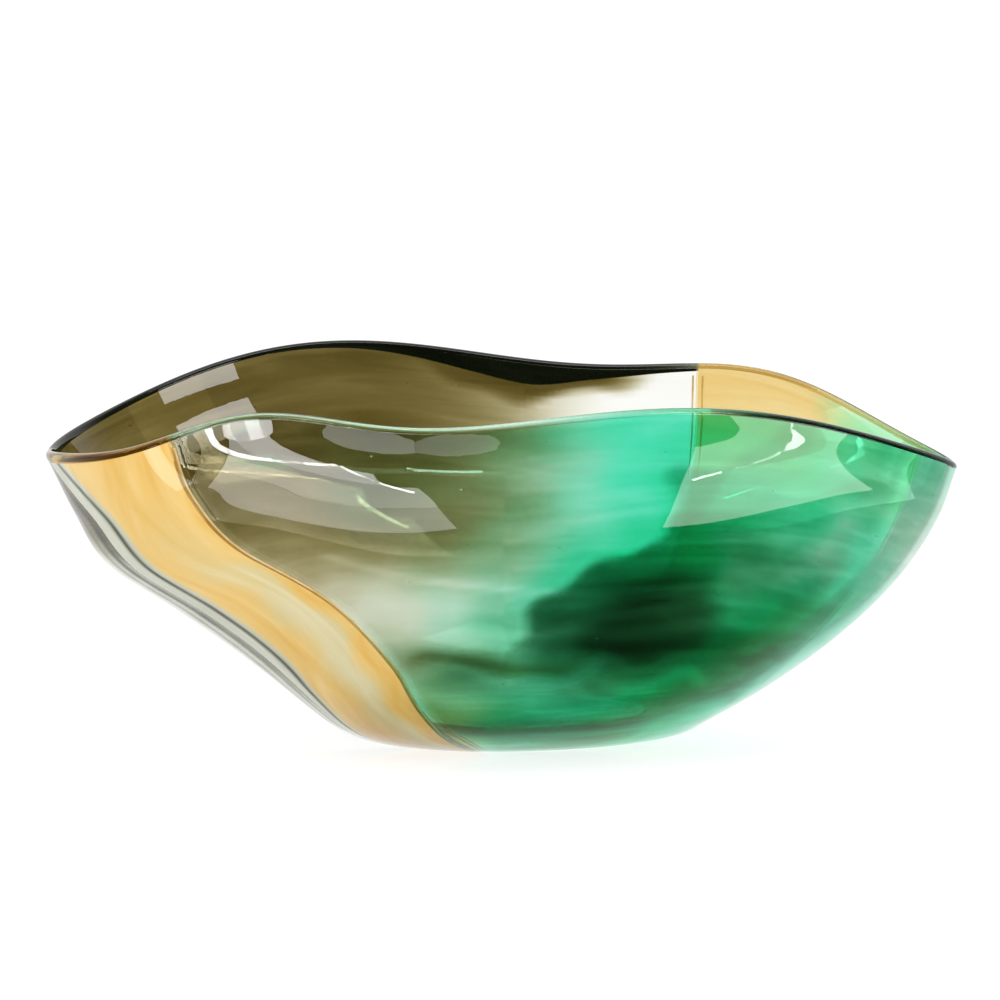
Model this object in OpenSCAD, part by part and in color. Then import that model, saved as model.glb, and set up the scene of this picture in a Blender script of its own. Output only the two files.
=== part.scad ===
// Free-form art glass bowl: a boat-shaped blown bowl fused from coloured glass panels.
// +X runs along the bowl to its right tip, +Y to the back, +Z up. The origin is the
// centre of the ground base. A place on the wall is named by its direction around the
// bowl (0 right tip, 90 back, 180 left tip, 270 front) and its rise, 0 at the base and
// 1 at the lip.

/* [Bowl] */
// Length over the two tips, without the lip
bowl_l = 419; // [380:1:450]
// Depth across the mouth, without the lip
bowl_d = 225; // [190:1:250]
// Height of the wall at the two tips
tip_h = 127; // [115:1:140]
// How far the wall rises from the tips to the sides
side_rise = 19; // [10:1:30]
// Height of the waves along the lip, as a share of the usual waves
wave = 1.0; // [0.5:0.1:1.2]
// How far the right end is drawn in towards a point
right_point = 0.5; // [0.2:0.05:0.6]

/* [Glass] */
// Wall thickness under the lip
wall_lip = 4.6; // [4:0.2:6]
// Wall thickness at the base
wall_base = 8; // [7:0.5:10]
// Height of the rounded lip above the wall
lip_rise = 2.6; // [2:0.1:3.5]
// How far the rounded lip swells past the wall, as a share of its width
lip_swell = 0.2; // [0:0.05:0.4]
// Radius of the gold threads along the seams
thread_r = 0.6; // [0.5:0.1:1]
// Greatest height of the dark band under the back lip, as a share of the wall's rise
band_share = 0.042; // [0.03:0.002:0.08]

/* [Base] */
// Half the length of the base
base_x = 68; // [55:1:75]
// Half the depth of the base
base_y = 36; // [30:1:45]
// How far the ground face stands below the wall
ground_step = 0.8; // [0.6:0.1:1.5]

/* [Hidden] */

// Rows of a panel from base to lip, and the widest step around the bowl in degrees
rows = 18;
step_deg = 5;
// Step used to measure slopes, and the sides of the rounded lip and of a thread
eps = 0.002;
lip_sides = 7;
thread_sides = 6;
// How far the ground face is set in from the base's edge
ground_inset = 1.5;

// Crests of the lip as [direction, width, rise]
crests = [[115, 35, 26], [54, 22, 19.5], [239, 17, 16.5], [294, 34, 20]];

// The wall's section at evenly spaced rises: share of the height, and share of the way
// out from the base to the lip at the right tip, at the left tip and at the sides
height_share = [0, 0.02, 0.08, 0.18, 0.32, 0.48, 0.64, 0.82, 1];
right_share = [0, 0.13, 0.22, 0.38, 0.56, 0.725, 0.85, 0.945, 1];
left_share = [0, 0.01, 0.07, 0.18, 0.37, 0.60, 0.82, 0.92, 1];
side_share = [0, 0.24, 0.48, 0.67, 0.81, 0.90, 0.96, 0.99, 1];

// Direction of each seam between panels, at evenly spaced rises
seams = [
    [26, 23, 20],                                       // green end to amber back
    [70, 66, 63, 63],                                   // amber back to clear back
    [92, 90, 87, 87],                                   // clear back to smoke back
    [160, 164, 170],                                    // smoke back to clear end
    [236, 234, 232, 229.5, 225, 217, 207.5, 200.5, 189], // clear end to amber front
    [264, 262, 258.5, 256, 253.5, 246.5, 233.5, 227, 225], // amber front to smoke front
    [280, 275, 271, 270, 271],                          // smoke front to green front
    [326, 331, 335],                                    // green front to green end
    [386, 383, 380]                                     // the first seam, one turn on
];
front_seam = 5;
back_seam = 1;
// Directions where the dark band starts and fades out, and its height at evenly spaced
// directions from where it fades out back to the seam, as a share of its greatest height
band_from = 63;
band_to = 124;
band_shape = [0, 0.06, 0.16, 0.4, 0.75, 1, 0.55, 0.26, 0.12];
// Directions where the lip changes colour, from the back seam round to itself
lip_ends = [63, 188, 225, 296, 368, 423];

function turn(d) = d - 360 * round(d / 360);
function sum(a, i = 0) = i >= len(a) ? 0 : a[i] + sum(a, i + 1);
function smooth(x) = let (y = min(max(x, 0), 1)) y * y * (3 - 2 * y);
function unit(a) = a / norm(a);

// A list's value at rise v, on a smooth curve through its evenly spaced values
function item(a, i) = let (n = len(a) - 1)
    i < 0 ? 2 * a[0] - a[1] : i > n ? 2 * a[n] - a[n - 1] : a[i];
function along(a, v) = let (
        x = v * (len(a) - 1), i = min(floor(x), len(a) - 2), f = x - i,
        p = item(a, i - 1), q = item(a, i), r = item(a, i + 1), s = item(a, i + 2)
    ) q + (r - p) * f / 2 + (2 * p - 5 * q + 4 * r - s) * f * f / 2 + (3 * q - p - 3 * r + s) * f * f * f / 2;

// Height of the wall, and the plan of its top edge, drawn in at the right end
function wall_h(t) = tip_h - 2 * cos(t) + side_rise * pow(abs(sin(t)), 1.3)
    + wave * sum([for (c = crests) c[2] * exp(-pow(turn(t - c[0]) / c[1], 2))]);
function plan(t) = [
    bowl_l / 2 * cos(t),
    bowl_d / 2 * sin(t) * (1 - right_point * pow((1 + cos(t)) / 2, 4))
];
function foot(t) = [base_x * cos(t), base_y * sin(t)];

// Share of the way out at direction t and rise v
function out_share(t, v) = pow(max(cos(t), 0), 2) * along(right_share, v)
    + pow(max(-cos(t), 0), 2) * along(left_share, v)
    + pow(sin(t), 2) * along(side_share, v);

// Point on the wall's outer face, its outward direction, and the points behind it
function outer(t, v) = let (p = foot(t) + (plan(t) - foot(t)) * out_share(t, v))
    [p[0], p[1], ground_step + (wall_h(t) - ground_step) * along(height_share, v)];
function outward(t, v) = v < eps ? [0, 0, -1]
    : let (u = min(v, 1 - eps)) unit(cross(outer(t + 0.2, u) - outer(t - 0.2, u),
                                           outer(t, u + eps) - outer(t, u - eps)));
function thickness(v) = wall_base + (wall_lip - wall_base) * smooth(v * 1.3);
function inner(t, v) = outer(t, v) - thickness(v) * outward(t, v);

// Rise where the wall stops, lower where the dark band sits on it
function wall_top(t) = t > band_to ? 1
    : 1 - band_share * along(band_shape, (band_to - t) / (band_to - band_from));

// A closed solid between two grids of points, the outer face and the inner face
module slab(out, inn) {
    nu = len(out);
    nv = len(out[0]);
    n = nu * nv;
    faces = concat(
        [for (i = [0 : nu - 2], j = [0 : nv - 2]) let (a = i * nv + j, b = a + nv)
            each [[a, a + 1, b + 1], [a, b + 1, b]]],
        [for (i = [0 : nu - 2], j = [0 : nv - 2]) let (a = n + i * nv + j, b = a + nv)
            each [[a, b + 1, a + 1], [a, b, b + 1]]],
        [for (i = [0 : nu - 2], j = [0, nv - 1]) let (a = i * nv + j, b = a + nv)
            each j == 0 ? [[a, b, n + b], [a, n + b, n + a]] : [[a, n + b, b], [a, n + a, n + b]]],
        [for (i = [0, nu - 1], j = [0 : nv - 2]) let (a = i * nv + j, b = a + 1)
            each i == 0 ? [[a, n + b, b], [a, n + a, n + b]] : [[a, b, n + b], [a, n + b, n + a]]]
    );
    polyhedron(points = concat([for (a = out) each a], [for (a = inn) each a]), faces = faces);
}

// A closed solid through a row of loops of points, with flat ends
module sweep(loops) {
    n = len(loops);
    m = len(loops[0]);
    faces = concat(
        [[for (k = [m - 1 : -1 : 0]) k], [for (k = [0 : m - 1]) (n - 1) * m + k]],
        [for (i = [0 : n - 2], k = [0 : m - 1]) let (p = i * m + k, q = i * m + (k + 1) % m)
            each [[p, q, q + m], [p, q + m, p + m]]]
    );
    polyhedron(points = [for (a = loops) each a], faces = faces);
}

// The wall panel between seams i and i + 1
module panel(i) {
    steps = ceil(max(seams[i + 1] - seams[i]) / step_deg);
    places = [for (u = [0 : steps]) [for (r = [0 : rows]) let (
            top = i < back_seam ? 1
                : wall_top(along(seams[i], 1) * (1 - u / steps) + along(seams[i + 1], 1) * u / steps),
            v = r / rows * top
        ) [along(seams[i], v) * (1 - u / steps) + along(seams[i + 1], v) * u / steps, v]]];
    slab([for (a = places) [for (b = a) outer(b[0], b[1])]],
         [for (a = places) [for (b = a) inner(b[0], b[1])]]);
}

// The rounded lip between two directions, on the wall's top edge
module lip(from, to) {
    steps = ceil((to - from) / step_deg);
    sweep([for (k = [0 : steps]) let (
            t = from + (to - from) * k / steps,
            half = (inner(t, 1) - outer(t, 1)) / 2,
            up = unit(outer(t, 1) - outer(t, 1 - eps))
        ) [for (s = [0 : lip_sides]) let (a = 180 * s / lip_sides)
            outer(t, 1) + half * (1 - cos(a) * (1 + lip_swell * sin(a))) + up * lip_rise * sin(a)]]);
}

// Two threads, one on each side of seam i, lying on the wall's outer face
module threads(i) {
    gap_deg = 0.7;
    for (side = [-1, 1])
        sweep([for (r = [1 : rows]) let (
                v = r / rows * 0.99,
                t = along(seams[i], v) + side * gap_deg,
                out = outward(t, v),
                ahead = unit(outer(t, min(v + eps, 1)) - outer(t, v - eps)),
                across = cross(out, ahead)
            ) [for (k = [0 : thread_sides - 1]) let (a = 360 * k / thread_sides)
                outer(t, v) + thread_r * (out * (1 + cos(a)) + across * sin(a))]]);
}

module base_disc() {
    color("lightcyan") {
        translate([0, 0, ground_step])
        linear_extrude(wall_base)
        polygon([for (t = [0 : step_deg : 360 - step_deg]) foot(t)]);
        linear_extrude(ground_step + 0.1)
        polygon([for (t = [0 : step_deg : 360 - step_deg])
            [(base_x - ground_inset) * cos(t), (base_y - ground_inset) * sin(t)]]);
    }
}

module green_end_panel() { color("mediumaquamarine") panel(7); }
module amber_back_panel() { color("burlywood") panel(0); }
module clear_back_panel() { color("ivory") panel(1); }
module smoke_back_panel() { color("darkkhaki") panel(2); }
module clear_end_panel() { color("lightgray") panel(3); }
module amber_front_panel() { color("navajowhite") panel(4); }
module smoke_front_panel() { color("rosybrown") panel(5); }
module green_front_panel() { color("mediumseagreen") panel(6); }

// The dark band fills the wall between the panels' top edge and the lip
module dark_lip_band() {
    steps = ceil((band_to - band_from) / 3);
    band_rows = 2;
    places = [for (u = [0 : steps]) let (
            t = band_from + (band_to - 1 - band_from) * u / steps,
            top = wall_top(t)
        ) [for (r = [0 : band_rows]) [t, top + (1 - top) * r / band_rows]]];
    color("darkslategray")
    slab([for (a = places) [for (b = a) outer(b[0], b[1])]],
         [for (a = places) [for (b = a) inner(b[0], b[1])]]);
}

module front_seam_threads() { color("goldenrod") threads(front_seam); }
module back_seam_threads() { color("goldenrod") threads(back_seam); }
module lip_dark_back() { color("darkslategray") lip(lip_ends[0], lip_ends[1]); }
module lip_amber() { color("orange") lip(lip_ends[1], lip_ends[2]); }
module lip_clear() { color("lightcyan") lip(lip_ends[2], lip_ends[3]); }
module lip_dark_front() { color("darkgreen") lip(lip_ends[3], lip_ends[4]); }
module lip_amber_back() { color("burlywood") lip(lip_ends[4], lip_ends[5]); }

base_disc();
clear_end_panel();
amber_front_panel();
smoke_front_panel();
green_front_panel();
green_end_panel();
amber_back_panel();
clear_back_panel();
smoke_back_panel();
dark_lip_band();
front_seam_threads();
back_seam_threads();
lip_dark_back();
lip_amber();
lip_clear();
lip_dark_front();
lip_amber_back();
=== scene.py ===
"""Looks of the free-form art glass bowl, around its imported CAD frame. Metres, +Z up.

A place on the wall is named as in the CAD: its direction around the bowl in degrees (0 right tip,
90 back, 180 left tip, 270 front) and its rise, 0 at the base and 1 at the lip.
"""

import bmesh
import bpy
import numpy as np
from mathutils import Matrix, Quaternion, Vector


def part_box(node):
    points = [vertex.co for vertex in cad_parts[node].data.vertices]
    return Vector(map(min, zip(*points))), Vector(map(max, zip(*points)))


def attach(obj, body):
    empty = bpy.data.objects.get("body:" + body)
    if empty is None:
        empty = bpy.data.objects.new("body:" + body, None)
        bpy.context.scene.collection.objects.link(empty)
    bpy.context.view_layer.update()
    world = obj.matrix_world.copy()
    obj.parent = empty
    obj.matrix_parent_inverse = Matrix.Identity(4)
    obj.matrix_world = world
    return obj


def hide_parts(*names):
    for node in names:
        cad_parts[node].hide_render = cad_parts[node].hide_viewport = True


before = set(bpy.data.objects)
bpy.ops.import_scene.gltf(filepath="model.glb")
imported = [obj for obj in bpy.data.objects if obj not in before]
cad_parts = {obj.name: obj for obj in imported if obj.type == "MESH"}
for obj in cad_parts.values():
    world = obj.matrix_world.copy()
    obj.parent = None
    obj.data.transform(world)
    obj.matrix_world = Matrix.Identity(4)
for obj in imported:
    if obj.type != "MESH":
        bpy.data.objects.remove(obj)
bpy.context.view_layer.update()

# ---------------------------------------------------------------- shape, as in the CAD
# Not all of it is design. TIP_H, TIP_DROP, SIDE_RISE, SIDE_POWER and CRESTS are a least-squares
# fit to the lip in the photograph, rounded. RIGHT_SHARE and LEFT_SHARE began as a fit to the
# outline. The two rows of SEAMS with nine values were worked out by a script from points picked
# in the photograph.
MM = 0.001
BOWL_L, BOWL_D = 419 * MM, 225 * MM
TIP_H, SIDE_RISE, RIGHT_POINT = 127 * MM, 19 * MM, 0.5
# how much lower the right tip is than the mean of both, and how sharply the sides rise
TIP_DROP, SIDE_POWER = 2 * MM, 1.3
WALL_LIP, WALL_BASE = 4.6 * MM, 8 * MM
LIP_RISE, LIP_SWELL = 2.6 * MM, 0.2
GROUND_STEP, GROUND_INSET = 0.8 * MM, 1.5 * MM
OUTER_RIPPLE, INNER_RIPPLE = 0.18 * MM, 0.30 * MM
BAND_SHARE, BAND_FROM, BAND_TO = 0.042, 63, 124
BAND_SHAPE = (0, 0.06, 0.16, 0.4, 0.75, 1, 0.55, 0.26, 0.12)
LIP_ENDS = {"lip_dark_back": (63, 188), "lip_amber": (188, 225), "lip_clear": (225, 296),
            "lip_dark_front": (296, 368), "lip_amber_back": (368, 423)}

base_low, base_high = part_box("base_disc")
BASE_X = (base_high.x - base_low.x) / 2
BASE_Y = (base_high.y - base_low.y) / 2

# crests of the lip: direction, width in degrees and rise
CRESTS = ((115, 35, 26 * MM), (54, 22, 19.5 * MM), (239, 17, 16.5 * MM), (294, 34, 20 * MM))
# the wall's section at evenly spaced rises
HEIGHT_SHARE = (0, 0.02, 0.08, 0.18, 0.32, 0.48, 0.64, 0.82, 1)
RIGHT_SHARE = (0, 0.13, 0.22, 0.38, 0.56, 0.725, 0.85, 0.945, 1)
LEFT_SHARE = (0, 0.01, 0.07, 0.18, 0.37, 0.60, 0.82, 0.92, 1)
SIDE_SHARE = (0, 0.24, 0.48, 0.67, 0.81, 0.90, 0.96, 0.99, 1)

# direction of each seam at evenly spaced rises. Panel i lies between seams i and i + 1.
SEAMS = (
    (26, 23, 20),
    (70, 66, 63, 63),
    (92, 90, 87, 87),
    (160, 164, 170),
    (236, 234, 232, 229.5, 225, 217, 207.5, 200.5, 189),
    (264, 262, 258.5, 256, 253.5, 246.5, 233.5, 227, 225),
    (280, 275, 271, 270, 271),
    (326, 331, 335),
    (386, 383, 380),
)
PANELS = ("amber_back_panel", "clear_back_panel", "smoke_back_panel", "clear_end_panel",
          "amber_front_panel", "smoke_front_panel", "green_front_panel", "green_end_panel")
BACK_SEAM, AMBER_EDGE, FRONT_SEAM = 1, 4, 5

# seed bubbles in the wall: direction, rise and half their height in mm
SEEDS = (
    (231, 0.82, 0.40), (237, 0.90, 0.30), (254, 0.95, 0.35), (265, 0.89, 0.40), (277, 0.76, 0.45),
    (258, 0.70, 0.35), (283, 0.55, 0.35), (290, 0.93, 0.30), (300, 0.64, 0.30), (306, 0.86, 0.40),
    (312, 0.50, 0.40), (318, 0.72, 0.30), (330, 0.80, 0.35), (270, 0.45, 0.30), (295, 0.42, 0.35),
    (250, 0.55, 0.30), (344, 0.66, 0.30), (215, 0.70, 0.45), (208, 0.84, 0.35), (150, 0.96, 0.45),
    (126, 0.90, 0.40), (103, 0.93, 0.40), (110, 0.86, 0.30), (141, 0.91, 0.35), (118, 0.80, 0.30),
    (84, 0.84, 0.30), (95, 0.60, 0.35), (40, 0.88, 0.30), (170, 0.75, 0.35), (60, 0.55, 0.40),
)
SEED_STRETCH = 1.5

# fineness of the visual meshes
STEP_DEG = 1.0
ROWS = 84
LIP_SIDES = 20
THREAD_SIDES = 12
THREAD_RINGS = 120
# threads: depth under the outer face, distance from the seam in degrees, and radius in mm where
# they are thinnest and what is added where they are full
THREAD_DEPTH, THREAD_GAP = 0.60 * MM, 0.7
THREAD_THIN, THREAD_MORE = 0.02, 0.48
# the lip is thicker round the left tip: direction, width, and shares added to rise and swell
LEFT_TIP, LEFT_TIP_WIDE, TIP_RISE, TIP_SWELL = 184, 26, 0.8, 1.2
BAND_ROWS = 9
BASE_UV_SCALE = 5
# steps in rise and in degrees that slopes are measured with
EPS = 0.002
TURN_EPS = 0.2


def turn(d):
    return (d + 180) % 360 - 180


def smooth(x):
    y = np.clip(x, 0, 1)
    return y * y * (3 - 2 * y)


def along(a, v):
    """A list's value at rise v, on a smooth curve through its evenly spaced values."""
    a = np.asarray(a, float)
    n = len(a) - 1
    x = np.asarray(v, float) * n
    i = np.clip(np.floor(x).astype(int), 0, n - 1)
    f = x - i

    def item(k):
        inside = a[np.clip(k, 0, n)]
        return np.where(k < 0, 2 * a[0] - a[1], np.where(k > n, 2 * a[n] - a[n - 1], inside))

    p, q, r, s = item(i - 1), item(i), item(i + 1), item(i + 2)
    bend = (2 * p - 5 * q + 4 * r - s) * f * f + (3 * q - p - 3 * r + s) * f * f * f
    return q + ((r - p) * f + bend) / 2


def wall_h(t):
    a = np.radians(t)
    crests = sum(rise * np.exp(-(turn(t - at) / wide) ** 2) for at, wide, rise in CRESTS)
    return TIP_H - TIP_DROP * np.cos(a) + SIDE_RISE * np.abs(np.sin(a)) ** SIDE_POWER + crests


def ripple(t, v, phase, size):
    """The hand-blown unevenness of a face, in metres, none at the base and at the lip."""
    a = np.radians(t)
    waves = (np.sin(3 * a + 5 * v + phase) + 0.6 * np.sin(5 * a - 9 * v + 2.1 * phase)
             + 0.4 * np.sin(8 * a + 13 * v + 3.3 * phase))
    return size * waves * smooth(v * 3) * smooth((1 - v) * 4)


def smooth_face(t, v):
    a = np.radians(t)
    c, s = np.cos(a), np.sin(a)
    plan = np.stack([BOWL_L / 2 * c, BOWL_D / 2 * s * (1 - RIGHT_POINT * ((1 + c) / 2) ** 4)], -1)
    foot = np.stack([BASE_X * c, BASE_Y * s], -1)
    share = (np.maximum(c, 0) ** 2 * along(RIGHT_SHARE, v)
             + np.maximum(-c, 0) ** 2 * along(LEFT_SHARE, v) + s ** 2 * along(SIDE_SHARE, v))
    xy = foot + (plan - foot) * share[..., None]
    z = GROUND_STEP + (wall_h(t) - GROUND_STEP) * along(HEIGHT_SHARE, v)
    return np.concatenate([xy, z[..., None]], -1)


def unit(a):
    return a / np.linalg.norm(a, axis=-1, keepdims=True)


def face_normal(face, t, v):
    """Outward direction of a face given as a function of direction and rise."""
    u = np.clip(v, 2 * EPS, 1 - EPS)
    around = face(t + TURN_EPS, u) - face(t - TURN_EPS, u)
    up = face(t, u + EPS) - face(t, u - EPS)
    normal = unit(np.cross(around, up))
    risen = smooth(v / 0.06)[..., None]
    return unit(normal * risen + np.array([0.0, 0.0, -1.0]) * (1 - risen))


def outer(t, v):
    raised = ripple(t, v, 0.7, OUTER_RIPPLE)
    return smooth_face(t, v) + raised[..., None] * face_normal(smooth_face, t, v)


def thickness(v):
    return WALL_BASE + (WALL_LIP - WALL_BASE) * smooth(v * 1.3)


def inner(t, v):
    depth = thickness(v) + ripple(t, v, 2.9, INNER_RIPPLE)
    return smooth_face(t, v) - depth[..., None] * face_normal(smooth_face, t, v)


def wall_top(t):
    drop = BAND_SHARE * along(BAND_SHAPE, (BAND_TO - t) / (BAND_TO - BAND_FROM))
    return np.where(t > BAND_TO, 1.0, 1 - drop)


# ---------------------------------------------------------------- colour of the glass
# Light that one wall takes out of red, green and blue, for each pigment at density 1
PIGMENTS = {
    "clear": (0.05, 0.03, 0.04),
    "smoke": (1.00, 1.14, 1.80),
    "teal": (3.20, 0.26, 0.85),
    "forest": (2.60, 1.90, 2.45),
    "amber": (0.10, 0.42, 1.25),
    "milk": (0.22, 0.10, 0.00),
    "black": (4.70, 4.50, 5.40),
}
# Density of the front's pigments every 8 degrees from 255, each at rises 0.3 to 1 in steps of
# 0.1. They were typed by hand from a script's comparison of the photograph's colours with the
# render's at these same places, so they follow the photograph and aren't free choices.
FRONT_FROM, FRONT_STEP, FRONT_LOW = 255, 8, 0.3
TEAL = (
    (0.25, 0.30, 0.15, 0.05, 0.05, 0.05, 0.15, 0.10),
    (0.40, 0.35, 0.35, 0.20, 0.15, 0.10, 0.15, 0.20),
    (0.85, 0.65, 0.45, 0.45, 0.30, 0.28, 0.25, 0.32),
    (1.00, 0.65, 0.55, 0.52, 0.85, 0.42, 0.45, 0.48),
    (1.60, 0.75, 0.60, 0.52, 1.35, 0.75, 0.80, 0.72),
    (1.50, 1.05, 0.65, 0.45, 1.60, 1.50, 0.90, 0.80),
    (1.50, 1.45, 1.00, 0.95, 0.55, 1.05, 0.70, 0.80),
    (1.40, 1.45, 1.50, 0.92, 0.55, 0.60, 0.78, 0.65),
    (0.90, 1.00, 1.35, 1.25, 0.10, 0.05, 0.45, 0.40),
    (0.50, 0.42, 0.55, 0.75, 0.35, 0.22, 0.25, 0.50),
    (0.42, 0.35, 0.35, 0.45, 0.28, 0.15, 0.22, 0.35),
)
FOREST = (
    (0.20, 0.10, 0.15, 0.00, 0.00, 0.00, 0.00, 0.00),
    (0.20, 0.15, 0.60, 0.05, 0.00, 0.00, 0.00, 0.00),
    (0.50, 0.30, 0.40, 0.60, 0.10, 0.00, 0.00, 0.00),
    (0.55, 0.45, 0.90, 1.20, 0.75, 0.05, 0.00, 0.00),
    (0.60, 0.40, 1.45, 1.90, 0.90, 0.50, 0.05, 0.05),
    (0.55, 0.45, 1.35, 1.40, 0.65, 0.50, 0.25, 0.05),
    (0.25, 0.60, 0.85, 0.45, 0.65, 0.45, 0.20, 0.10),
    (0.10, 0.60, 0.75, 0.45, 0.62, 0.32, 0.18, 0.12),
    (0.35, 0.65, 0.70, 0.50, 0.50, 0.22, 0.25, 0.10),
    (0.30, 0.30, 0.55, 0.45, 0.15, 0.20, 0.30, 0.30),
    (0.15, 0.15, 0.20, 0.30, 0.15, 0.02, 0.02, 0.15),
)
SMOKE = (
    (0.05, 0.05, 0.45, 0.14, 0.17, 0.62, 0.80, 0.35),
    (0.10, 0.05, 0.20, 0.12, 0.13, 0.78, 0.42, 0.48),
    (0.00, 0.00, 0.10, 0.25, 0.25, 0.45, 0.35, 0.30),
    (0.00, 0.00, 0.00, 0.00, 0.05, 0.10, 0.15, 0.20),
    (0.00, 0.00, 0.00, 0.00, 0.00, 0.00, 0.00, 0.00),
)
# Direction of the dark green's crisp left edge, at rises 0.5 to 1 in steps of 0.05. Its points
# were picked in the photograph and turned into directions with a script's positions.
GREEN_EDGE = (268, 270.5, 272, 278, 282, 288.5, 291, 292.5, 295.5, 300, 306)
# Degrees of clear glass at the amber panel's left edge from the base to the lip
CLEAR_EDGE = (0, 0.5, 2, 4, 6, 6, 6.5, 7, 8)


def cloud(t, v, at, wide, rise, high):
    return np.exp(-(turn(t - at) / wide) ** 2 - ((v - rise) / high) ** 2)


def spread(table, t, v):
    """A table's density at directions and rises, on a smooth curve both ways."""
    row = np.clip((t - FRONT_FROM) / FRONT_STEP, 0, len(table) - 1) / (len(table) - 1)
    rise = np.clip((v - FRONT_LOW) / (1 - FRONT_LOW), 0, 1)
    by_row = np.stack([along(r, rise) for r in table], -1)
    places = row * (len(table) - 1)
    low = np.clip(np.floor(places).astype(int), 0, len(table) - 2)
    share = smooth(places - low)
    before = np.take_along_axis(by_row, low[..., None], -1)[..., 0]
    after = np.take_along_axis(by_row, low[..., None] + 1, -1)[..., 0]
    return np.maximum(before * (1 - share) + after * share, 0)


def flowing(t, v):
    """The place whose colour has been drawn to t, v as the glass was worked."""
    a = np.radians(t)
    drift = (0.014 * np.sin(7 * a + 9 * v + 1.0) + 0.010 * np.sin(17 * a - 21 * v + 0.4)
             + 0.006 * np.sin(31 * a + 37 * v + 2.2))
    sway = 1.4 * np.sin(9 * a + 14 * v) + 0.9 * np.sin(40 * v - 13 * a)
    return t + sway, v + drift * smooth((v - 0.2) * 4)


def strands(t, v):
    """Fine strands of denser glass drawn out round the bowl, about 1 on average."""
    a = np.radians(t)
    bend = v + 0.02 * np.sin(6 * a + 1.3) + 0.008 * np.sin(19 * a)
    waves = (0.5 * np.sin(46 * bend + 3 * a) + 0.35 * np.sin(83 * bend - 5 * a + 1.7)
             + 0.25 * np.sin(131 * bend + 9 * a + 0.6))
    return 1 + (0.10 + 0.22 * smooth((0.62 - v) / 0.2)) * waves


def back_density(t, v):
    """Pigment at the back: smoke on the left, clearing towards the back seam and the base."""
    left = smooth((t - 74) / 36)
    rise = 0.08 + 0.52 * smooth((v - 0.42) / 0.28) + 0.40 * smooth((v - 0.72) / 0.14)
    low = wall_top(t) - 0.035
    under_band = smooth((v - low) / 0.035) * smooth((t - 66) / 14) * (1 - left)
    return {"smoke": 2.05 * left * rise + 2.2 * under_band, "amber": 0.05}


def amber_density(from_left, to_seam, v):
    """Amber with a cream streak beside the front seam, a clear edge on the left and painted shade in
    its lower half.
    """
    cream = smooth((to_seam - 2.5) / 3) * smooth((16 - to_seam) / 9) * smooth((0.92 - v) / 0.35)
    line = 0.25 * np.exp(-((to_seam - 1.2) / 0.7) ** 2)
    # painted shade: smoke added in the amber's lower half (below) darkens it there as if shaded
    low = smooth((0.5 - v) / 0.35)
    clear = along(CLEAR_EDGE, v)
    filled = smooth((from_left - clear) / 1.5)
    dark = 0.65 * np.exp(-((from_left - clear * 0.75) / 0.6) ** 2) * smooth((clear - 0.5) / 1.5)
    return {"amber": (1.15 - 0.65 * cream + line) * filled, "milk": 0.5 * cream,
            "smoke": 0.12 + 0.08 * cream + 0.55 * low * filled,
            "black": 0.10 * (1 - filled) + dark}


def density(name, t, v):
    """Pigments of a panel at a place on the wall, with painted highlights and shade among them."""
    left, right = (t - along(seam, v) for seam in (SEAMS[AMBER_EDGE], SEAMS[FRONT_SEAM]))
    # painted highlight: the pale line that crosses the smoke glass, drawn by thinning its pigment
    below = (0.74 - 0.0026 * (t - 247) - v) / 0.009
    line = np.exp(-below ** 2) * smooth((t - 243) / 5) * smooth((286 - t) / 10)
    t, v = flowing(t, v)
    if name in ("smoke_back_panel", "clear_back_panel"):
        return back_density(t, v)
    if name == "clear_end_panel":
        upper = smooth((v - 0.72) / 0.2) * smooth((206 - t) / 20)
        lines = 0.5 * np.exp(-((left + 3) / 0.9) ** 2) + 0.4 * np.exp(-((left + 8) / 1.5) ** 2)
        return {"smoke": 0.10 + 1.9 * upper, "black": 0.10 + lines}
    if name == "amber_front_panel":
        return amber_density(left, along(SEAMS[FRONT_SEAM], v) - t, v)
    if name in ("smoke_front_panel", "green_front_panel"):
        olive = cloud(t, v, 260, 9, 0.28, 0.12)
        beyond = smooth((t - 242) / 14)
        brown = smooth((t - 254) / 5) * smooth((286 - t) / 10)
        brown = brown * np.exp(-((v - 0.505 - 0.012 * np.sin(np.radians(t) * 14)) / 0.016) ** 2)
        wave = 1.1 * np.sin(34 * v) + 0.7 * np.sin(75 * v + 1)
        edge = smooth((t - along(GREEN_EDGE, np.clip((v - 0.5) * 2, 0, 1)) - wave) / 2.4 + 0.5)
        edge = np.maximum(edge, smooth((0.58 - v) / 0.08))
        forest = spread(FOREST, t, v) * strands(t, v) * beyond * (0.1 + 0.9 * edge)
        # painted highlight: smoke and amber thinned to a fifth beside the front seam, and thinned on
        # the pale line, lighten the glass there
        from_seam = (0.2 + 0.8 * smooth((right - 0.6) / 1.8)) * (1 - 0.8 * line)
        return {"teal": spread(TEAL, t, v) * beyond * (1 - 0.3 * line), "forest": forest,
                "smoke": (spread(SMOKE, t, v) + 0.5 * olive + 0.9 * brown) * from_seam,
                "amber": 0.9 * olive * from_seam}
    if name == "green_end_panel":
        return {"teal": spread(TEAL, t, v) * (1 - 0.4 * smooth((t - 338) / 16)),
                "smoke": 0.12, "forest": 0.1}
    if name == "amber_back_panel":
        green = smooth((47 - t) / 14)
        amber = 0.25 + 0.75 * smooth((v - 0.72) / 0.18)
        return {"amber": amber * (1 - 0.5 * green), "teal": 0.32 * green}
    raise ValueError(name)


def tint(pigments, shape):
    """Share of red, green and blue that gets through one wall."""
    taken = np.zeros(shape + (3,)) + np.array(PIGMENTS["clear"])
    for name, amount in pigments.items():
        taken = taken + np.asarray(amount)[..., None] * np.array(PIGMENTS[name])
    return np.exp(-taken)


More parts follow.
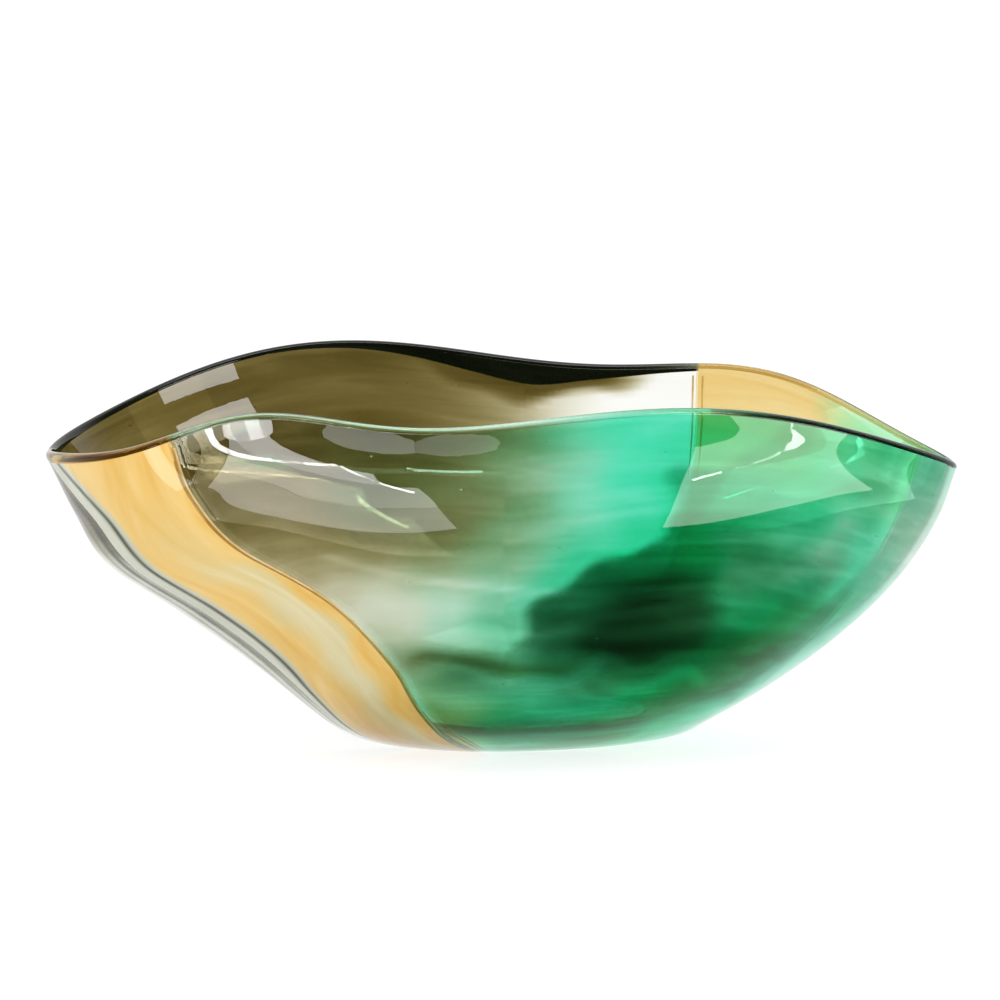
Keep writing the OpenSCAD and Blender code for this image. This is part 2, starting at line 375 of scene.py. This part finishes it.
def lip_density(name, t):
    """Pigments of the lip along its way round."""
    one = np.ones_like(t)
    if name == "lip_dark_back":
        return {"black": 1.2 * smooth((t - 55) / 20) * smooth((205 - t) / 35)}
    if name == "lip_amber":
        return {"amber": 1.6 * one, "smoke": 0.3 * one}
    if name == "lip_clear":
        return {"teal": 0.12 + 0.35 * smooth((t - 270) / 26), "smoke": 0.1 * one}
    if name == "lip_dark_front":
        thick = smooth((t - 294) / 16) * smooth((372 - t) / 12)
        return {"black": 0.15 + 0.75 * thick, "teal": 0.3 * one}
    if name == "lip_amber_back":
        green = smooth((395 - t) / 25)
        return {"amber": 1.3 - 0.6 * green, "teal": 0.45 * green, "smoke": 0.5 * one}
    raise ValueError(name)


# ---------------------------------------------------------------- materials
def new_material(name):
    mat = bpy.data.materials.new(name)
    mat.use_nodes = True
    mat.node_tree.nodes.clear()
    return mat, mat.node_tree


def node(tree, kind, **values):
    n = tree.nodes.new(kind)
    for key, value in values.items():
        if key in n.inputs:
            n.inputs[key].default_value = value
        else:
            setattr(n, key, value)
    return n


def to_surface(tree, socket):
    out = node(tree, "ShaderNodeOutputMaterial")
    tree.links.new(socket, out.inputs["Surface"])


def mixed(tree, factor, first, second):
    """The first shader where the factor is 0 and the second where it is 1."""
    mix = node(tree, "ShaderNodeMixShader")
    for place, socket in enumerate((factor, first, second)):
        tree.links.new(socket, mix.inputs[place])
    return mix.outputs["Shader"]


def glass(name, colour=None, transmission=1.0, streaks=0.25, flow=(7, 16), bump=0.004):
    """Glass tinted by the mesh's own tint, or by one colour, with streaks of thicker pigment."""
    mat, tree = new_material(name)
    link = tree.links.new
    where = node(tree, "ShaderNodeUVMap", uv_map="wall")
    drawn = node(tree, "ShaderNodeMapping")
    drawn.inputs["Scale"].default_value = (*flow, 1)
    link(where.outputs["UV"], drawn.inputs["Vector"])
    noise = node(tree, "ShaderNodeTexNoise", Scale=1.6, Detail=4.0, Roughness=0.55, Distortion=0.8)
    link(drawn.outputs["Vector"], noise.inputs["Vector"])
    amount = node(tree, "ShaderNodeMapRange")
    amount.inputs["From Min"].default_value = 0.3
    amount.inputs["From Max"].default_value = 0.7
    amount.inputs["To Min"].default_value = 1 - streaks
    amount.inputs["To Max"].default_value = 1 + streaks
    link(noise.outputs["Fac"], amount.inputs["Value"])
    thicker = node(tree, "ShaderNodeGamma")
    if colour is None:
        source = node(tree, "ShaderNodeAttribute", attribute_name="tint")
        link(source.outputs["Color"], thicker.inputs["Color"])
    else:
        thicker.inputs["Color"].default_value = (*colour, 1)
    link(amount.outputs["Result"], thicker.inputs["Gamma"])
    shader = node(tree, "ShaderNodeBsdfPrincipled", Roughness=0.0, IOR=1.5)
    shader.inputs["Transmission Weight"].default_value = transmission
    link(thicker.outputs["Color"], shader.inputs["Base Color"])
    # faint unevenness of the fire-polished face
    place = node(tree, "ShaderNodeTexCoord")
    skin = node(tree, "ShaderNodeTexNoise", Scale=45.0, Detail=2.0)
    link(place.outputs["Object"], skin.inputs["Vector"])
    dent = node(tree, "ShaderNodeBump", Strength=bump, Distance=0.002)
    link(skin.outputs["Fac"], dent.inputs["Height"])
    link(dent.outputs["Normal"], shader.inputs["Normal"])
    # lamps shine through the glass with its colour
    half = node(tree, "ShaderNodeGamma", Gamma=0.5)
    link(thicker.outputs["Color"], half.inputs["Color"])
    clear = node(tree, "ShaderNodeBsdfTransparent")
    link(half.outputs["Color"], clear.inputs["Color"])
    path = node(tree, "ShaderNodeLightPath")
    straight = clear.outputs["BSDF"]
    lit = mixed(tree, path.outputs["Is Shadow Ray"], shader.outputs["BSDF"], straight)
    # what is mirrored within the wall leaves it at the next face, rather than going round it
    leaving = mixed(tree, path.outputs["Is Glossy Ray"], lit, straight)
    to_surface(tree, mixed(tree, path.outputs["Is Transmission Ray"], leaving, lit))
    return mat


def seam_face():
    """The hidden faces where two glasses are fused, which nothing is seen of."""
    mat, tree = new_material("fused_face")
    to_surface(tree, node(tree, "ShaderNodeBsdfTransparent").outputs["BSDF"])
    return mat


def milky_glass(name, dim, bright, transmission, ior):
    """Milky glass or gas caught within the wall, brighter and dimmer from place to place."""
    mat, tree = new_material(name)
    link = tree.links.new
    place = node(tree, "ShaderNodeTexCoord")
    noise = node(tree, "ShaderNodeTexNoise", Scale=90.0, Detail=3.0)
    link(place.outputs["Object"], noise.inputs["Vector"])
    ramp = node(tree, "ShaderNodeValToRGB")
    ramp.color_ramp.elements[0].position = 0.3
    ramp.color_ramp.elements[1].position = 0.7
    ramp.color_ramp.elements[0].color = (*dim, 1)
    ramp.color_ramp.elements[1].color = (*bright, 1)
    link(noise.outputs["Fac"], ramp.inputs["Fac"])
    shader = node(tree, "ShaderNodeBsdfPrincipled", Roughness=0.1, IOR=ior)
    shader.inputs["Transmission Weight"].default_value = transmission
    link(ramp.outputs["Color"], shader.inputs["Base Color"])
    to_surface(tree, shader.outputs["BSDF"])
    return mat


FUSED = seam_face()


# ---------------------------------------------------------------- meshes
def show(name, data):
    """An object of a mesh, light or camera, put into the scene."""
    obj = bpy.data.objects.new(name, data)
    bpy.context.scene.collection.objects.link(obj)
    return obj


def make_piece(name, points, faces, kinds, uv, material, normals=None, tints=None):
    """A piece of glass: kinds is 1 for a fused face, normals are each corner's direction."""
    mesh = bpy.data.meshes.new(name)
    mesh.from_pydata(points.tolist(), [], faces)
    mesh.materials.append(material)
    mesh.materials.append(FUSED)
    mesh.polygons.foreach_set("material_index", kinds)
    layer = mesh.uv_layers.new(name="wall")
    corner = np.empty(len(mesh.loops), int)
    mesh.loops.foreach_get("vertex_index", corner)
    layer.data.foreach_set("uv", np.asarray(uv, np.float32)[corner].ravel())
    if tints is not None:
        colours = mesh.color_attributes.new("tint", "FLOAT_COLOR", "POINT")
        rgba = np.concatenate([tints, np.ones((len(tints), 1))], -1)
        colours.data.foreach_set("color", rgba.astype(np.float32).ravel())
    if normals is not None:
        mesh.polygons.foreach_set("use_smooth", [True] * len(mesh.polygons))
    mesh.update()
    if normals is not None:
        mesh.normals_split_custom_set(normals)
    return show(name, mesh)


def flat_normal(points, quad):
    a, b, c, d = (points[i] for i in quad)
    n = np.cross(c - a, d - b)
    return n / max(np.linalg.norm(n), 1e-12)


def slab(name, t, v, across, material, tints):
    """A closed piece of wall over a grid of directions and rises, fused to others at its edges."""
    nu, nv = t.shape
    out, inn = outer(t, v), inner(t, v)
    out_n, in_n = face_normal(outer, t, v), -face_normal(inner, t, v)
    points = np.concatenate([out.reshape(-1, 3), inn.reshape(-1, 3)])
    sides = np.concatenate([out_n.reshape(-1, 3), in_n.reshape(-1, 3)])
    n = nu * nv
    i, j = np.meshgrid(np.arange(nu - 1), np.arange(nv - 1), indexing="ij")
    a = (i * nv + j).ravel()
    faces_out = np.stack([a, a + nv, a + nv + 1, a + 1], -1)
    faces_in = np.stack([a, a + 1, a + nv + 1, a + nv], -1) + n
    edges = []
    for j in (0, nv - 1):
        a = np.arange(nu - 1) * nv + j
        ring = [a, n + a, n + a + nv, a + nv]
        edges.append(np.stack(ring if j == 0 else ring[::-1], -1))
    for i in (0, nu - 1):
        a = i * nv + np.arange(nv - 1)
        ring = [a, a + 1, n + a + 1, n + a]
        edges.append(np.stack(ring if i == 0 else ring[::-1], -1))
    edges = np.concatenate(edges)
    quads = np.concatenate([faces_out, faces_in, edges])
    kinds = np.r_[np.zeros(len(faces_out) * 2, int), np.ones(len(edges), int)]
    normals = [tuple(sides[k]) for q in quads[:len(faces_out) * 2] for k in q]
    for q in edges:
        normals += [tuple(flat_normal(points, q))] * 4
    uv = np.stack([across / 360, v], -1).reshape(-1, 2)
    tints = tints.reshape(-1, 3)
    return make_piece(name, points, quads.tolist(), kinds.tolist(), np.concatenate([uv, uv]),
                      material, normals, np.concatenate([tints, tints]))


def panel(i, material):
    name = PANELS[i]
    left, right = SEAMS[i], SEAMS[i + 1]
    widest = max(along(right, r / 8) - along(left, r / 8) for r in range(9))
    steps = int(np.ceil(widest / STEP_DEG))
    u = np.linspace(0, 1, steps + 1)[:, None]
    top = along(left, 1) * (1 - u) + along(right, 1) * u
    v = np.linspace(0, 1, ROWS + 1)[None, :] * (np.ones_like(u) if i < BACK_SEAM else wall_top(top))
    t = along(left, v) * (1 - u) + along(right, v) * u
    tints = tint(density(name, t, v), t.shape)
    from_seam = t - along(right, v)
    piece = slab(name + "_glass", t, v, from_seam, material, tints)
    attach(piece, "root")
    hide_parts(name)
    return piece


def dark_band(material):
    t = np.linspace(BAND_FROM, BAND_TO - 1, int(BAND_TO - BAND_FROM) * 2)[:, None]
    share = np.linspace(0, 1, BAND_ROWS)[None, :]
    top = wall_top(t)
    v = top + (1 - top) * share
    t = t + 0 * v
    piece = slab("dark_lip_band_glass", t, v, t, material, np.ones(t.shape + (3,)))
    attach(piece, "root")
    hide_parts("dark_lip_band")
    return piece


def tube(name, rings, ring_normals, uv, material, tints=None, joined=False):
    """A closed piece through a row of loops of points. The last side of a joined one is fused."""
    n, m = rings.shape[:2]
    points = rings.reshape(-1, 3)
    i, k = np.meshgrid(np.arange(n - 1), np.arange(m), indexing="ij")
    p, q = (i * m + k).ravel(), (i * m + (k + 1) % m).ravel()
    quads = np.stack([p, p + m, q + m, q], -1)
    fused = (k.ravel() == m - 1) & joined
    kinds = fused.astype(int)
    normals = []
    flat = ring_normals.reshape(-1, 3)
    for f, quad in zip(fused, quads):
        normals += [tuple(flat_normal(points, quad))] * 4 if f else [tuple(flat[c]) for c in quad]
    caps = [list(range(m)), [(n - 1) * m + k for k in range(m - 1, -1, -1)]]
    end = 1 if joined else 0
    first = unit(rings[0].mean(0) - rings[1].mean(0))
    last = unit(rings[-1].mean(0) - rings[-2].mean(0))
    normals += [tuple(first)] * m + [tuple(last)] * m
    if tints is not None:
        tints = np.repeat(tints, m, axis=0)
    return make_piece(name, points, quads.tolist() + caps, kinds.tolist() + [end, end],
                      uv.reshape(-1, 2), material, normals, tints)


def lip(name, material):
    start, end = LIP_ENDS[name]
    t = np.linspace(start, end, int((end - start) / STEP_DEG) + 1)
    v = np.ones_like(t)
    o, i = outer(t, v), inner(t, v)
    half = (i - o) / 2
    tip = np.exp(-(turn(t - LEFT_TIP) / LEFT_TIP_WIDE) ** 2)[:, None, None]
    rise = LIP_RISE * (1 + TIP_RISE * tip)
    swell = LIP_SWELL * (1 + TIP_SWELL * tip)
    up = unit(outer(t, v) - outer(t, v - EPS))
    a = np.radians(np.linspace(0, 180, LIP_SIDES + 1))
    c, s = np.cos(a)[None, :, None], np.sin(a)[None, :, None]
    rings = o[:, None] + half[:, None] * (1 - c * (1 + swell * s)) + up[:, None] * rise * s
    d_half = s * (1 + swell * s) - swell * c * c
    slope = half[:, None] * d_half + up[:, None] * rise * c
    ahead = unit(np.gradient(o, axis=0))[:, None]
    normals = unit(np.cross(ahead, slope)) * -1
    side = np.sum(normals * (rings - (o + half)[:, None]), -1, keepdims=True)
    normals = np.where(side < 0, -normals, normals)
    uv = np.stack([t[:, None] / 360 + 0 * a[None], 1 + 0.02 * a[None] + 0 * t[:, None]], -1)
    tints = tint(lip_density(name, t), t.shape)
    piece = tube(name + "_glass", rings, normals, uv, material, tints, joined=True)
    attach(piece, "root")
    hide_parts(name)
    return piece


def threads(name, seam, material, thin_below=0.0):
    """Two threads beside a seam, just under the outer face, as one piece."""
    v = np.linspace(0.03, 0.985, THREAD_RINGS)
    a = np.linspace(0, 2 * np.pi, THREAD_SIDES, endpoint=False)
    parts = []
    for side in (-1, 1):
        t = along(SEAMS[seam], v) + side * THREAD_GAP
        centre = outer(t, v) - THREAD_DEPTH * face_normal(outer, t, v)
        out = face_normal(outer, t, v)
        ahead = unit(np.gradient(centre, axis=0))
        across = unit(np.cross(ahead, out))
        out = np.cross(across, ahead)
        around = out[:, None] * np.cos(a)[None, :, None] - across[:, None] * np.sin(a)[None, :, None]
        uv = np.stack([t[:, None] / 360 + 0 * a[None], v[:, None] + 0 * a[None]], -1)
        full = smooth((v - thin_below) / 0.1 + 1)
        radius = (THREAD_THIN + THREAD_MORE * full)[:, None, None] * MM
        parts.append(tube(name + "_part", centre[:, None] + radius * around, around, uv, material))
    bpy.ops.object.select_all(action="DESELECT")
    for part in parts:
        part.select_set(True)
    bpy.context.view_layer.objects.active = parts[0]
    bpy.ops.object.join()
    piece = bpy.context.view_layer.objects.active
    piece.name = name + "_glass"
    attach(piece, "root")
    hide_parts(name)
    return piece


def seed_bubbles(material):
    """Tiny bubbles caught in the wall, drawn long by the blowing."""
    bm = bmesh.new()
    for t, v, size in SEEDS:
        where, rise = np.array([float(t)]), np.array([v])
        at = (outer(where, rise)[0] + inner(where, rise)[0]) / 2
        around = Vector(outer(where + TURN_EPS, rise)[0] - outer(where - TURN_EPS, rise)[0])
        spin = around.to_track_quat("X", "Z")
        shape = (SEED_STRETCH * size * MM, size * MM, size * MM)
        bmesh.ops.create_icosphere(bm, subdivisions=2, radius=1,
                                   matrix=Matrix.LocRotScale(Vector(at), spin, shape))
    mesh = bpy.data.meshes.new("seed_bubbles")
    bm.to_mesh(mesh)
    bm.free()
    mesh.polygons.foreach_set("use_smooth", [True] * len(mesh.polygons))
    mesh.materials.append(material)
    piece = show("seed_bubbles", mesh)
    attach(piece, "root")
    return piece


def base(material):
    """The thick bottom, ground flat underneath with a small bevel."""
    t = np.linspace(0, 360, 360, endpoint=False)
    a = np.radians(t)
    levels = [(GROUND_INSET, 0.0), (GROUND_INSET * 0.4, GROUND_STEP * 0.45), (0.0, GROUND_STEP),
              (0.0, GROUND_STEP + WALL_BASE)]
    points = [np.stack([(BASE_X - inset) * np.cos(a), (BASE_Y - inset) * np.sin(a), z + 0 * a], -1)
              for inset, z in levels]
    n = len(t)
    quads = []
    for level in range(len(levels) - 1):
        for k in range(n):
            p, q = level * n + k, level * n + (k + 1) % n
            quads.append([p, q, q + n, p + n])
    faces = quads + [list(range(n - 1, -1, -1)), [3 * n + k for k in range(n)]]
    points = np.concatenate(points)
    kinds = [0] * (2 * n) + [1] * n + [0, 0]
    uv = points[:, :2] * BASE_UV_SCALE
    piece = make_piece("base_disc_glass", points, faces, kinds, uv, material)
    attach(piece, "root")
    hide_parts("base_disc")
    return piece


# ---------------------------------------------------------------- the bowl
SLOTS = {
    "amber_back_panel": "amber_glass", "clear_back_panel": "clear_glass",
    "smoke_back_panel": "smoke_glass", "clear_end_panel": "clear_glass",
    "amber_front_panel": "amber_glass", "smoke_front_panel": "smoke_glass",
    "green_front_panel": "green_glass", "green_end_panel": "light_green_glass",
}
LIP_SLOTS = {
    "lip_dark_back": "dark_glass", "lip_amber": "amber_glass", "lip_clear": "clear_glass",
    "lip_dark_front": "dark_glass", "lip_amber_back": "amber_glass",
}
GLASSES = {
    "clear_glass": glass("clear_glass", streaks=0.2),
    "smoke_glass": glass("smoke_glass", streaks=0.15),
    "amber_glass": glass("amber_glass", transmission=0.2, streaks=0.2, flow=(32, 2)),
    "green_glass": glass("green_glass", streaks=0.2),
    "light_green_glass": glass("light_green_glass", streaks=0.2),
}
AMBER_BACK = glass("amber_back_glass", transmission=0.85, streaks=0.2)
DARK = glass("dark_glass", colour=(0.004, 0.005, 0.002), streaks=0.1)
LIP_GLASS = glass("lip_glass", streaks=0.2)
BASE = glass("base_glass", colour=(0.80, 0.92, 0.84), streaks=0.2)
GOLD = milky_glass("gold_thread", (0.85, 0.50, 0.16), (1.0, 0.86, 0.58), 0.15, 1.02)
SEED = milky_glass("seed_bubble", (0.55, 0.58, 0.50), (0.95, 0.96, 0.92), 0.35, 1.10)

for number, panel_name in enumerate(PANELS):
    panel_glass = AMBER_BACK if panel_name == "amber_back_panel" else GLASSES[SLOTS[panel_name]]
    panel(number, panel_glass)
dark_band(DARK)
for lip_name, lip_slot in LIP_SLOTS.items():
    lip(lip_name, LIP_GLASS)
threads("front_seam_threads", FRONT_SEAM, GOLD)
threads("back_seam_threads", BACK_SEAM, GOLD, thin_below=0.86)
base(BASE)
seed_bubbles(SEED)


# ---------------------------------------------------------------- stage, lights, camera
ROOM_LIT, ROOM_SEEN, FLOOR_LIT = 0.85, 1.08, 0.80
FLOOR_HALF, FLOOR_Z, CARD_Z = 30.0, -0.0003, 0.004
# The camera's place and lens were fitted so that the view matches the outline.
CAMERA_AT, CAMERA_AIM, CAMERA_LENS = (-0.0013, -1.7727, 0.3926), (-0.0013, 0, 0.111), 139.6


def floor():
    mesh = bpy.data.meshes.new("floor")
    r, z = FLOOR_HALF, FLOOR_Z
    mesh.from_pydata([(-r, -r, z), (r, -r, z), (r, r, z), (-r, r, z)], [], [(0, 1, 2, 3)])
    mat, tree = new_material("pale_floor")
    place = node(tree, "ShaderNodeTexCoord")
    noise = node(tree, "ShaderNodeTexNoise", Scale=1.5, Detail=2.0)
    ramp = node(tree, "ShaderNodeValToRGB")
    ramp.color_ramp.elements[0].color = (0.30, 0.30, 0.30, 1)
    ramp.color_ramp.elements[1].color = (0.34, 0.34, 0.34, 1)
    shader = node(tree, "ShaderNodeBsdfDiffuse")
    lit = node(tree, "ShaderNodeEmission", Strength=FLOOR_LIT)
    both = node(tree, "ShaderNodeAddShader")
    tree.links.new(place.outputs["Object"], noise.inputs["Vector"])
    tree.links.new(noise.outputs["Fac"], ramp.inputs["Fac"])
    tree.links.new(ramp.outputs["Color"], shader.inputs["Color"])
    tree.links.new(shader.outputs["BSDF"], both.inputs[0])
    tree.links.new(lit.outputs["Emission"], both.inputs[1])
    to_surface(tree, both.outputs["Shader"])
    mesh.materials.append(mat)
    obj = show("floor", mesh)
    obj.visible_glossy = False


def sky():
    """A white room. What the glass mirrors of it is white behind the bowl and dark before it."""
    world = bpy.data.worlds.new("studio")
    world.use_nodes = True
    tree = world.node_tree
    link = tree.links.new
    back = tree.nodes["Background"]
    path = node(tree, "ShaderNodeLightPath")
    seen = node(tree, "ShaderNodeMath", operation="MAXIMUM")
    link(path.outputs["Is Camera Ray"], seen.inputs[0])
    link(path.outputs["Is Transmission Ray"], seen.inputs[1])
    white = node(tree, "ShaderNodeMapRange")
    white.inputs["To Min"].default_value = ROOM_LIT
    white.inputs["To Max"].default_value = ROOM_SEEN
    link(seen.outputs["Value"], white.inputs["Value"])
    place = node(tree, "ShaderNodeTexCoord")
    split = node(tree, "ShaderNodeSeparateXYZ")
    link(place.outputs["Generated"], split.inputs["Vector"])
    behind = node(tree, "ShaderNodeMapRange", interpolation_type="SMOOTHSTEP")
    behind.inputs["From Min"].default_value = -0.15
    behind.inputs["From Max"].default_value = 0.45
    behind.inputs["To Min"].default_value = 0.05
    behind.inputs["To Max"].default_value = ROOM_SEEN
    link(split.outputs["Y"], behind.inputs["Value"])
    mirrored = node(tree, "ShaderNodeMath", operation="SUBTRACT", use_clamp=True)
    link(path.outputs["Is Glossy Ray"], mirrored.inputs[0])
    link(path.outputs["Is Transmission Ray"], mirrored.inputs[1])
    choose = node(tree, "ShaderNodeMix", data_type="FLOAT")
    link(mirrored.outputs["Value"], choose.inputs["Factor"])
    link(white.outputs["Result"], choose.inputs["A"])
    link(behind.outputs["Result"], choose.inputs["B"])
    link(choose.outputs["Result"], back.inputs["Strength"])
    back.inputs["Color"].default_value = (1, 1, 1, 1)
    bpy.context.scene.world = world


def card(name, at, aim, turned, wide, high, brightness, colour=(1, 1, 1)):
    """A soft light seen in the glass only. turned is its spin about its own axis, in degrees."""
    light = bpy.data.lights.new(name, "AREA")
    light.shape = "RECTANGLE"
    light.size, light.size_y = wide, high
    light.energy = brightness * np.pi * wide * high
    light.color = colour
    obj = show(name, light)
    obj.location = at
    facing = (Vector(aim) - Vector(at)).to_track_quat("-Z", "Y")
    spin = Quaternion((0, 0, 1), np.radians(turned))
    obj.rotation_euler = (facing @ spin).to_euler()
    obj.visible_camera = False
    obj.visible_transmission = False


def floor_card(name, start, end, depth, brightness, colour=(1, 1, 1)):
    """A card lying before the bowl, from a near edge given by two points on the floor."""
    near, far = Vector((*start, CARD_Z)), Vector((*end, CARD_Z))
    edge = far - near
    away = Vector((edge.y, -edge.x, 0)).normalized()
    if away.y > 0:
        away.negate()
    middle = (near + far) / 2 + away * depth / 2
    turned = -np.degrees(np.arctan2(edge.y, edge.x))
    card(name, middle, middle + Vector((0, 0, 1)), turned, edge.length, depth, brightness, colour)


def camera():
    cam = bpy.data.cameras.new("camera")
    cam.lens, cam.sensor_width = CAMERA_LENS, 36
    cam.clip_start, cam.clip_end = 0.05, 50
    obj = show("camera", cam)
    obj.location = CAMERA_AT
    facing = Vector(CAMERA_AIM) - Vector(CAMERA_AT)
    obj.rotation_euler = facing.to_track_quat("-Z", "Y").to_euler()
    bpy.context.scene.camera = obj


floor()
sky()
card("overhead_card", (-0.2, -0.3, 1.5), (0, 0, 0.1), 0, 1.2, 0.8, 3)
# low cards before the bowl, which its downward-facing walls mirror, with bright tubes. Some of
# their corners are a script's results: where the photograph's reflections meet the floor.
floor_card("right_low_card", (0.272, -0.317), (0.462, -0.098), 0.40, 4.5)
floor_card("right_low_tube", (0.418, -0.412), (0.620, -0.345), 0.012, 18)
floor_card("right_far_tube", (0.625, -0.345), (0.660, -0.270), 0.020, 18)
floor_card("left_near_card", (-0.365, -0.262), (-0.030, -0.430), 0.08, 4)
floor_card("left_middle_card", (-0.401, -0.334), (-0.066, -0.502), 0.11, 5.5)
floor_card("left_far_card", (-0.450, -0.432), (-0.190, -0.562), 0.08, 8)
floor_card("left_low_tube", (-0.443, -0.371), (-0.300, -0.600), 0.012, 22)
floor_card("left_far_tube", (-0.300, -0.600), (-0.120, -0.550), 0.014, 22)
floor_card("left_side_tube", (-0.455, -0.350), (-0.420, -0.600), 0.020, 10)
floor_card("left_corner_card", (-0.436, -0.190), (-0.376, -0.202), 0.05, 3)
floor_card("streak_tube", (-0.160, -0.872), (0.041, -0.940), 0.022, 28, (0.85, 0.93, 1))
floor_card("far_left_card", (-0.400, -0.640), (-0.150, -0.850), 0.035, 3.2)
floor_card("far_right_card", (-0.150, -0.850), (0.110, -0.930), 0.035, 2.2)
# upright cards that the inside of the far wall mirrors
card("right_card", (0.80, -0.78, 0.42), (-0.15, 0.06, 0.15), 20, 0.42, 0.20, 7)
card("left_card", (-0.95, -0.50, 0.28), (0.15, 0.06, 0.15), 0, 0.20, 0.20, 4)
camera()
bpy.context.scene.view_settings.view_transform = "Standard"
